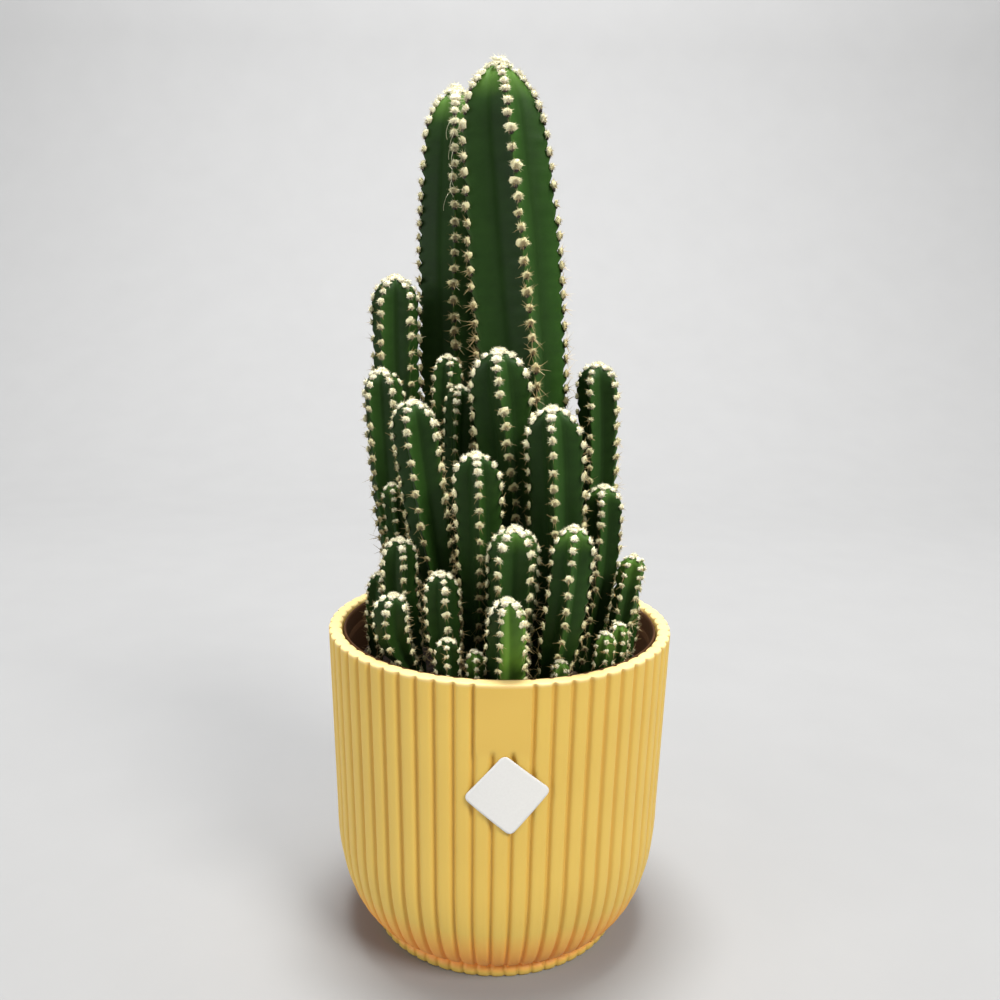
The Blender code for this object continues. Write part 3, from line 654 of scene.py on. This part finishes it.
def add_cushion(growth, draw, base, axes, size, age, fibres, tall=0.74):
    # A lumpy felt core with short fibres standing out of it. Its tone is painted shade,
    # lighter on top and darker underneath. The middle of an older cushion wears brown round the
    # roots of its spines.
    scale = np.array([0.87, tall, 0.44]) * size * (1.0 + 0.16 * draw.uniform(-1.0, 1.0, 3))
    shape = cushion * (1.0 + draw.normal(0.0, 0.20, (len(cushion), 1)))
    tone = 0.5 + 0.5 * shape[:, 1] + 0.35 * shape[:, 0] ** 2
    worn = min(1.0, 2.5 * age)
    middle = np.exp(-(cushion[:, 0] ** 2 + cushion[:, 1] ** 2) / 0.26) * (cushion[:, 2] > 0.0)
    tone = tone - 1.10 * worn * middle
    growth.add((shape * scale) @ axes + base, cushion_faces, tone, age, WOOL_SLOT, True)
    aim = draw.normal(0.0, 1.0, (fibres, 3))
    aim[:, 2] = np.abs(aim[:, 2]) * 0.9 + 0.05
    aim = unit(aim)
    root = (aim * scale * 0.86) @ axes + base
    droop = aim * np.array([1.2, 0.6, 0.7]) + np.array([0.0, -0.25, 0.0])
    bend = unit(droop + draw.normal(0.0, 0.40, (fibres, 3)))
    end = root + (bend @ axes) * size * draw.uniform(0.30, 0.95, (fibres, 1))
    side = unit(np.cross(bend @ axes, aim @ axes + draw.normal(0.0, 0.5, (fibres, 3))))
    half = side * FIBRE_HALF
    tuft = np.stack([root - half, root + half, end], axis=1).reshape(-1, 3)
    # The fibres take the same painted shade, lighter toward the top.
    tone = 0.58 + 0.5 * aim[:, 1] + 0.35 * aim[:, 0] ** 2
    tone = tone - 1.00 * worn * np.exp(-(aim[:, 0] ** 2 + aim[:, 1] ** 2) / 0.24)
    tone = np.repeat(tone, 3)
    growth.add(tuft, np.arange(fibres * 3).reshape(-1, 3), tone, age, WOOL_SLOT, False)


def add_boss(growth, base, axes, size, age):
    # A small near-black lump just under a cushion.
    scale = np.array([0.50, 0.42, 0.26]) * size
    place = base - axes[1] * 0.80 * size - axes[2] * 0.02 * size
    growth.add((ball * scale) @ axes + place, ball_faces, -1.0, age, SPINE_SLOT, True)


def add_spines(growth, draw, base, axes, size, age, count, length):
    # Three-sided needles that spread from the cushion, a few of them outward. A
    # short one stays brown, as its mark at the point says.
    aim = draw.normal(0.0, 1.0, (count, 3))
    aim[:, 2] = np.abs(aim[:, 2]) * 0.5 + 0.25
    way = unit(aim) @ axes
    long = length * draw.uniform(0.55, 1.15, (count, 1))
    root = base + way * size * 0.3
    end = base + way * (long + size * 0.4)
    one = unit(np.cross(way, np.broadcast_to(axes[1], (count, 3))))
    two = np.cross(way, one)
    foot = [root + SPINE_HALF * (math.cos(t) * one + math.sin(t) * two)
            for t in (0.0, 2.094, 4.189)]
    spike = np.stack(foot + [end], axis=1).reshape(-1, 3)
    faces = []
    for s in range(0, 4 * count, 4):
        faces += [(s, s + 1, s + 3), (s + 1, s + 2, s + 3), (s + 2, s, s + 3)]
    tone = np.tile([0.0, 0.0, 0.0, min(1.0, length / 0.0026)], count)
    growth.add(spike, faces, tone, age, SPINE_SLOT, False)


def surface_axes(stem, turn, z):
    # Across the rib, up along it, and straight out of it.
    step = 0.0003
    low, high = max(z - step, NECK_TOP), min(z + step, stem.tip[2])
    rise = float(stem.crest(high) - stem.crest(low)) / (high - low)
    lean = (stem.centre(high) - stem.centre(low)) / (high - low)
    outward = np.array([math.sin(turn), -math.cos(turn), 0.0])
    along = unit(outward * rise + np.array([lean[0], lean[1], 1.0]))
    across = unit(np.cross(along, outward))
    return outward, np.stack([across, along, np.cross(across, along)])


def add_skin(growth, name, stem, rows):
    heights, grid, crest_mark, painted_light = stem_skin(stem, rows)
    columns = grid.shape[1]
    old = np.clip((stem.tip[2] - heights + stem.shift) / 0.08, 0.0, 1.0)
    old = np.repeat(old[:, None], columns, axis=1)
    if name == "stem_short_bright":
        # This shoot is the newest, and palest near the soil; its right side and lit faces are
        # painted lighter as painted light, the rest painted darker as shade.
        away = unit(grid[:, :, :2] - stem.centre(heights)[:, None, :])
        painted_lit_side = np.clip(0.25 + 2.25 * away[:, :, 0] - 1.10 * away[:, :, 1], 0.0, 1.0)
        old = np.clip(0.13 * (heights - NECK_TOP) / 0.029, 0.0, 1.0)[:, None]
        old = old + 0.20 * (1.0 - painted_lit_side) + 0.07 * (1.0 - np.clip(2.6 * painted_light, 0.0, 1.0))
    apex = len(heights) * columns
    last = apex - columns
    faces = grid_faces(len(heights), columns) + [tuple(range(columns - 1, -1, -1))]
    faces += [(last + k, last + (k + 1) % columns, apex) for k in range(columns)]
    top = np.array([[*stem.centre(stem.tip[2]), stem.tip[2]]])
    growth.add(np.concatenate([grid.reshape(-1, 3), top]), faces,
               np.concatenate([crest_mark.ravel(), [0.5]]),
               np.concatenate([old.ravel(), [0.0]]), SKIN_SLOT, True,
               np.concatenate([painted_light.ravel(), [0.3]]))


def add_ribs_of_cushions(growth, stem, rows):
    draw = stem.draw
    fibres = 58 if stem.radius > 0.004 else 42
    for rib in range(STEM_RIBS):
        for z in rows[rib]:
            below = stem.tip[2] - z
            age = min(1.0, below / (0.110 if stem.big else 0.065))
            turn = float(stem.rib_turn(rib, z)) + 0.02 * draw.normal()
            outward, axes = surface_axes(stem, turn, z)
            base = np.array([*stem.centre(z), z]) + outward * (float(stem.crest(z)) + 0.00005)
            size = stem.wool * (1.0 - 0.20 * age) * (1.0 + 0.16 * draw.uniform(-1.0, 1.0))
            add_cushion(growth, draw, base, axes, size, age, fibres, stem.tall)
            if below > 0.4 * stem.radius:
                grown = min(1.0, max(0.0, (below - 0.030) / 0.035))
                count = int(draw.randint(3, 6)) + (int(4.0 * grown) if stem.big else 0)
                length = 0.0015 + (0.0021 * grown if stem.big else 0.0024 * age)
                add_boss(growth, base, axes, size * (1.0 if stem.big else 0.85), age)
                add_spines(growth, draw, base, axes, size, age, count, length)


def add_crown(growth, stem):
    # The youngest cushions close the crown over the growing point in two rings
    # round a middle one, heaped into a low dome.
    draw = stem.draw
    outer = 0.23
    crown = [(0.0, 0.0)] + [(0.12, 0.9 + RIB_TURN * k) for k in range(5)]
    crown += [(outer, 0.3 + 0.25 * math.pi * k) for k in range(8)]
    for reach, turn in crown:
        turn += stem.turn
        drop = DOME * stem.radius * (1.0 - math.sqrt(1.0 - reach ** 2))
        z = stem.tip[2] - drop - 0.0002
        outward = np.array([math.sin(turn), -math.cos(turn), 0.0])
        normal = unit(outward * reach * DOME + np.array([0.0, 0.0, 1.0]))
        across = unit(np.cross(outward, normal))
        axes = np.stack([across, np.cross(normal, across), normal])
        base = np.array([*stem.centre(z), z]) + outward * (stem.radius * reach)
        heap = (1.0 - reach / outer) * (1.0 if stem.big else 0.5)
        size = stem.wool * (0.50 + 0.35 * draw.rand()) * (1.0 + 0.45 * heap)
        lift = 0.25 + 0.75 * heap
        add_cushion(growth, draw, base + normal * size * lift, axes, size, 0.0, 60)


def add_hairs(growth, stem):
    # A few long curly hairs of loose wool cling to the front of this stem.
    draw = stem.draw
    steps = 7
    for k in range(8):
        z = stem.tip[2] - 0.009 - 0.0026 * k
        start = np.array([*stem.centre(z), z])
        start += np.array([0.0005 * draw.normal() - 0.0006, -float(stem.crest(z)) - 0.0006, 0.0])
        curl = np.linspace(0.0, 1.0, steps)
        size = 0.0004 + 0.0004 * draw.rand()
        phase = draw.rand() * 6.0
        line = start + np.stack([size * (np.cos(phase + 4.0 * curl) - math.cos(phase)),
                                 -0.0009 * np.sin(np.pi * curl) - 0.0003,
                                 -0.004 * curl + size * np.sin(phase + 5.0 * curl)], axis=-1)
        strand = np.concatenate([line, line + np.array([0.00010, 0.0, 0.00006])])
        strip = [(a, a + 1, a + steps + 1) for a in range(steps - 1)]
        strip += [(a, a + steps + 1, a + steps) for a in range(steps - 1)]
        growth.add(strand, strip, 0.9, 0.05, WOOL_SLOT, False)


def stem_piece(name, stem, materials):
    rows = [stem.areoles(rib) for rib in range(STEM_RIBS)]
    growth = Growth()
    add_skin(growth, name, stem, rows)
    add_ribs_of_cushions(growth, stem, rows)
    add_crown(growth, stem)
    if name == "stem_back_tall":
        add_hairs(growth, stem)
    marks = {"tone": np.concatenate(growth.tone), "age": np.concatenate(growth.age),
             "painted_light": np.concatenate(growth.painted_light)}
    return add_piece(name + "_grown", np.concatenate(growth.points), growth.faces, materials,
                     growth.smooth, marks, growth.slots)


# Cactus skin, grown thick and waxy: deep green with a soft sheen on the faces and
# none down in the valleys, brighter green near the tip, painted light in brighter green
# on the faces turned to the light, a painted highlight along each crest, painted shade
# in the valleys of older skin, and clouded in patches of 6.5 mm. Wrinkles of 0.65 mm
# barely roughen it. The real pores are about a twentieth of a millimetre, and drawn coarser.
SKIN_CLOUD = 0.0065
SKIN_WRINKLE = 0.00065
SKIN_PORE = 0.00045
cactus_skin, tree, shader, on_piece = new_material("cactus_skin_waxy")
cloud = node(tree, "ShaderNodeTexNoise", None,
             {"Scale": 1.0 / SKIN_CLOUD, "Detail": 6.0, "Roughness": 0.62}, on_piece)
fine = node(tree, "ShaderNodeTexNoise", None, {"Scale": 1.0 / SKIN_WRINKLE, "Detail": 3.0}, on_piece)
pores = node(tree, "ShaderNodeTexVoronoi", None, {"Scale": 1.0 / SKIN_PORE}, on_piece)
age = node(tree, "ShaderNodeAttribute", {"attribute_name": "age"})
crest = node(tree, "ShaderNodeAttribute", {"attribute_name": "tone"})
painted_light_mark = node(tree, "ShaderNodeAttribute", {"attribute_name": "painted_light"})
old = node(tree, "ShaderNodeMix", COLOUR_MIX,
           {6: linear("182B0E"), 7: linear("253F17")}, [(0, cloud, "Fac")])
fresh_and_lit = node(tree, "ShaderNodeMix", COLOUR_MIX,
             {6: linear("2C4F1B"), 7: linear("436E2C")}, [(0, cloud, "Fac")])
young = node(tree, "ShaderNodeMapRange", None, {"From Max": 0.32, "To Min": 0.85, "To Max": 0.0},
             [("Value", age, "Fac")])
# Painted light: faces turned to the light mix toward the brighter green.
painted_light_share = node(tree, "ShaderNodeMath", {"operation": "MULTIPLY"}, {1: 0.95}, [(0, painted_light_mark, "Fac")])
young_and_lit_share = node(tree, "ShaderNodeMath", {"operation": "MAXIMUM"}, None,
                 [(0, young, "Result"), (1, painted_light_share, 0)])
grown = node(tree, "ShaderNodeMix", COLOUR_MIX, None,
             [(0, young_and_lit_share, 0), (6, old, 2), (7, fresh_and_lit, 2)])
newest = node(tree, "ShaderNodeMapRange", None,
              {"From Min": 0.02, "From Max": 0.26, "To Min": 0.90, "To Max": 0.0},
              [("Value", age, "Fac")])
bright = node(tree, "ShaderNodeMix", COLOUR_MIX, {7: linear("77A340")},
              [(0, newest, "Result"), (6, grown, 2)])
# Painted shade darkens the valleys of older skin.
painted_crease_shade = node(tree, "ShaderNodeMapRange", None, {"From Max": 0.45, "To Min": 0.08, "To Max": 0.0},
            [("Value", crest, "Fac")])
painted_valley_shade = node(tree, "ShaderNodeMath", {"operation": "MULTIPLY"}, None,
                [(0, painted_crease_shade, "Result"), (1, age, "Fac")])
shaded = node(tree, "ShaderNodeMix", COLOUR_MIX, {7: linear("12210D")},
              [(0, painted_valley_shade, 0), (6, bright, 2)])
# Painted highlight: the skin is paler green along each crest.
painted_edge_highlight = node(tree, "ShaderNodeMapRange", None, {"From Min": 0.80, "To Max": 0.30},
            [("Value", crest, "Fac")])
crest_highlight = node(tree, "ShaderNodeMix", COLOUR_MIX, {7: linear("4A6334")},
             [(0, painted_edge_highlight, "Result"), (6, shaded, 2)])
speck = node(tree, "ShaderNodeMapRange", None, {"From Max": 0.22, "To Min": 0.16, "To Max": 0.0},
             [("Value", pores, "Distance")])
dotted = node(tree, "ShaderNodeMix", COLOUR_MIX, {7: linear("557545")},
              [(0, speck, "Result"), (6, crest_highlight, 2)])
plug(shader, "Base Color", dotted, 2)
rough = node(tree, "ShaderNodeMapRange", None, {"To Min": 0.40, "To Max": 0.54},
             [("Value", cloud, "Fac")])
dull = node(tree, "ShaderNodeMapRange", None, {"From Max": 0.50, "To Min": 0.95, "To Max": 0.0},
            [("Value", crest, "Fac")])
duller = node(tree, "ShaderNodeMath", {"operation": "MAXIMUM"}, None,
              [(0, dull, "Result"), (1, rough, "Result")])
plug(shader, "Roughness", duller, 0)
bump = node(tree, "ShaderNodeBump", None, {"Strength": 0.18, "Distance": 0.00012},
            [("Height", fine, "Fac")])
plug(shader, "Normal", bump, "Normal")
shader.inputs["IOR"].default_value = 1.45
shader.inputs["Specular IOR Level"].default_value = 0.15

# Wool: short matted plant hair, cream white when new and tan when old, with painted
# shade in brown on its underside and a worn brown middle, with no gloss. The hairs are
# about a fiftieth of a millimetre, too fine to show, so mats of 0.7 mm are drawn.
WOOL_MAT = 0.0007
plant_wool, tree, shader, on_piece = new_material("plant_wool")
mat = node(tree, "ShaderNodeTexNoise", None, {"Scale": 1.0 / WOOL_MAT, "Detail": 4.0}, on_piece)
age = node(tree, "ShaderNodeAttribute", {"attribute_name": "age"})
under = node(tree, "ShaderNodeAttribute", {"attribute_name": "tone"})
ramp = node(tree, "ShaderNodeValToRGB", None, None, [("Fac", age, "Fac")])
ramp.color_ramp.elements[0].color = linear("F0EDD4")
ramp.color_ramp.elements[1].color = linear("D3BF8F")
for place, colour in ((0.14, "ECE7C1"), (0.45, "E8E0AF")):
    ramp.color_ramp.elements.new(place).color = linear(colour)
shade = node(tree, "ShaderNodeMapRange", None,
             {"From Min": 0.35, "From Max": 0.65, "To Min": 0.30, "To Max": 0.0},
             [("Value", mat, "Fac")])
worn = node(tree, "ShaderNodeMix", COLOUR_MIX, {7: linear("B6A36F")},
            [(0, shade, "Result"), (6, ramp, "Color")])
# Painted shade on the underside, and the worn middle, turn older cushions brown.
low = node(tree, "ShaderNodeMapRange", None,
           {"From Min": 0.12, "From Max": 0.52, "To Min": 0.90, "To Max": 0.0},
           [("Value", under, "Fac")])
tan_share = node(tree, "ShaderNodeMapRange", None, {"To Min": 0.66}, [("Value", age, "Fac")])
low_old = node(tree, "ShaderNodeMath", {"operation": "MULTIPLY"}, None,
               [(0, low, "Result"), (1, tan_share, "Result")])
worn_and_shaded = node(tree, "ShaderNodeMix", COLOUR_MIX, {7: linear("503919")},
               [(0, low_old, 0), (6, worn, 2)])
plug(shader, "Base Color", worn_and_shaded, 2)
shader.inputs["Roughness"].default_value = 1.0
shader.inputs["Specular IOR Level"].default_value = 0.1

# Spines: hard straw-coloured needles, browner at the root, and near black in the lump
# under a cushion. Their streaks are finer than a needle, so they are drawn 1.25 mm long.
SPINE_STREAK = 0.00125
spine_horn, tree, shader, on_piece = new_material("spine_straw")
along_spine = node(tree, "ShaderNodeAttribute", {"attribute_name": "tone"})
streak = node(tree, "ShaderNodeTexNoise", None, {"Scale": 1.0 / SPINE_STREAK}, on_piece)
straw = node(tree, "ShaderNodeMix", COLOUR_MIX,
             {6: linear("84582F"), 7: linear("EADBA2")}, [(0, along_spine, "Fac")])
tinted = node(tree, "ShaderNodeMix", COLOUR_MIX, {7: linear("CCB077")},
              [(0, streak, "Fac"), (6, straw, 2)])
lump_share = node(tree, "ShaderNodeMapRange", None,
            {"From Min": -1.0, "From Max": 0.0, "To Min": 1.0, "To Max": 0.0},
            [("Value", along_spine, "Fac")])
with_dark_lump = node(tree, "ShaderNodeMix", COLOUR_MIX, {7: linear("241409")},
              [(0, lump_share, "Result"), (6, tinted, 2)])
plug(shader, "Base Color", with_dark_lump, 2)
shader.inputs["Roughness"].default_value = 0.4

for number, (name, row) in enumerate(STEM_ROWS.items()):
    grown_stem = Stem(row, 100 + number)
    piece = stem_piece(name, grown_stem, [cactus_skin, plant_wool, spine_horn])
    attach(piece, "root")
    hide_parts(name)


# Label. A blank white sticker with rounded corners, set as a diamond across the
# ribs below the plain panel. It bridges the grooves, 0.3 mm off the ribs' crests.
LABEL_SIDE = 0.0147
LABEL_CORNER = 0.0015
LABEL_TURN = math.radians(50.0)
LABEL_RIGHT = 0.0012
LABEL_HEIGHT = 0.0563
LABEL_LIFTS = (0.00030, 0.00058)
LABEL_CELLS = 28
size = LABEL_CELLS + 1
line = (np.arange(size) / LABEL_CELLS - 0.5) * LABEL_SIDE
gx, gy = np.meshgrid(line, line)
inner = LABEL_SIDE / 2.0 - LABEL_CORNER
ex, ey = np.maximum(np.abs(gx) - inner, 0.0), np.maximum(np.abs(gy) - inner, 0.0)
over = np.hypot(ex, ey)
pull = np.where(over > LABEL_CORNER, LABEL_CORNER / np.maximum(over, 1e-9), 1.0)
gx = np.sign(gx) * (np.minimum(np.abs(gx), inner) + ex * pull)
gy = np.sign(gy) * (np.minimum(np.abs(gy), inner) + ey * pull)
across = gx * math.cos(LABEL_TURN) - gy * math.sin(LABEL_TURN) + LABEL_RIGHT
height = gx * math.sin(LABEL_TURN) + gy * math.cos(LABEL_TURN) + LABEL_HEIGHT
layers = []
for lift in LABEL_LIFTS:
    r = wall_radius(height) + lift
    a = across / r
    layers.append(np.stack([r * np.sin(a), -r * np.cos(a), height], axis=-1).reshape(-1, 3))
faces = grid_faces(size, size, size * size, closed=False)
faces += [f[::-1] for f in grid_faces(size, size, 0, closed=False)]
rim = list(range(size)) + [k * size + LABEL_CELLS for k in range(1, size)]
rim += [LABEL_CELLS * size + k for k in range(LABEL_CELLS - 1, -1, -1)]
rim += [k * size for k in range(LABEL_CELLS - 1, 0, -1)]
for k, a in enumerate(rim):
    b = rim[(k + 1) % len(rim)]
    faces.append((a, b, b + size * size, a + size * size))

# Coated paper, die cut: white and faintly glossy. The felt of its fibres is about
# a fiftieth of a millimetre, too fine to show, and is drawn at 0.55 mm.
PAPER_FELT = 0.00055
coated_paper, tree, shader, on_piece = new_material("coated_paper_white")
felt = node(tree, "ShaderNodeTexNoise", None, {"Scale": 1.0 / PAPER_FELT, "Detail": 4.0}, on_piece)
tone = node(tree, "ShaderNodeMix", COLOUR_MIX,
            {6: linear("E3E2DF"), 7: linear("ECEBE8")}, [(0, felt, "Fac")])
plug(shader, "Base Color", tone, 2)
bump = node(tree, "ShaderNodeBump", None, {"Strength": 0.08, "Distance": 0.0001},
            [("Height", felt, "Fac")])
plug(shader, "Normal", bump, "Normal")
shader.inputs["Roughness"].default_value = 0.42
label = add_piece("label_blank", np.concatenate(layers), faces, [coated_paper])
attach(label, "root")
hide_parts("label")


# Studio. A pale grey sheet makes the floor and curves up into the backdrop. The
# main soft lamp stands high on the right in front, with a weak one on the left, one
# overhead, and one that lights the sheet behind the plant.
FLOOR_FRONT = -1.2
FLOOR_BACK = 0.5
SHEET_TOP = 2.4
sweep = np.linspace(0.1, 1.5, 16)
depth = np.concatenate([np.linspace(FLOOR_FRONT, FLOOR_BACK, 8),
                        FLOOR_BACK + 0.5 * np.sin(sweep), [1.0, 1.0]])
lift = np.concatenate([np.zeros(8), 0.5 - 0.5 * np.cos(sweep), [1.0, SHEET_TOP]])
wide = np.array([-3.0, -1.0, 1.0, 3.0])
shape = (len(depth), len(wide))
sheet = np.stack([np.broadcast_to(wide, shape), np.broadcast_to(depth[:, None], shape),
                  np.broadcast_to(lift[:, None], shape)], axis=-1)

# Backdrop paper from a roll: matt grey, with a very faint cloud of fibres.
BACKDROP_FIBRE = 0.033
paper_roll, tree, shader, on_piece = new_material("backdrop_paper")
fibre = node(tree, "ShaderNodeTexNoise", None, {"Scale": 1.0 / BACKDROP_FIBRE, "Detail": 3.0},
             on_piece)
tone = node(tree, "ShaderNodeMix", COLOUR_MIX,
            {6: linear("8D8D8D"), 7: linear("919191")}, [(0, fibre, "Fac")])
plug(shader, "Base Color", tone, 2)
shader.inputs["Roughness"].default_value = 0.9
backdrop = add_piece("backdrop", sheet.reshape(-1, 3),
                     grid_faces(len(depth), len(wide), closed=False), [paper_roll])


def soft_lamp(name, spot, target, width, watts, tint):
    data = bpy.data.lights.new(name, "AREA")
    data.shape = "DISK"
    data.size = width
    data.energy = watts
    data.color = tint
    lamp = bpy.data.objects.new(name, data)
    way = unit(np.array(target) - np.array(spot))
    side_way = unit(np.cross(way, (0.0, 0.0, 1.0)))
    up_way = np.cross(side_way, way)
    lamp.matrix_world = placed(side_way, up_way, -way, spot)
    scene.collection.objects.link(lamp)


soft_lamp("lamp_high", (0.60, -0.70, 0.95), (0.0, 0.0, 0.12), 0.5, 13.5, (1.0, 0.98, 0.94))
soft_lamp("lamp_left", (-1.05, -0.55, 0.40), (0.0, 0.0, 0.08), 0.8, 5.4, (0.98, 0.99, 1.0))
soft_lamp("lamp_top", (0.0, 0.10, 1.3), (0.0, 0.0, 0.1), 0.7, 8.5, (1.0, 1.0, 1.0))
soft_lamp("lamp_sheet", (0.0, 0.15, 1.5), (0.0, 1.0, 0.75), 0.6, 42.0, (1.0, 1.0, 1.0))
world = bpy.data.worlds.new("studio_air")
scene.world = world
world.use_nodes = True
air = world.node_tree.nodes["Background"]
air.inputs["Color"].default_value = (0.90, 0.92, 0.95, 1.0)
air.inputs["Strength"].default_value = 0.29
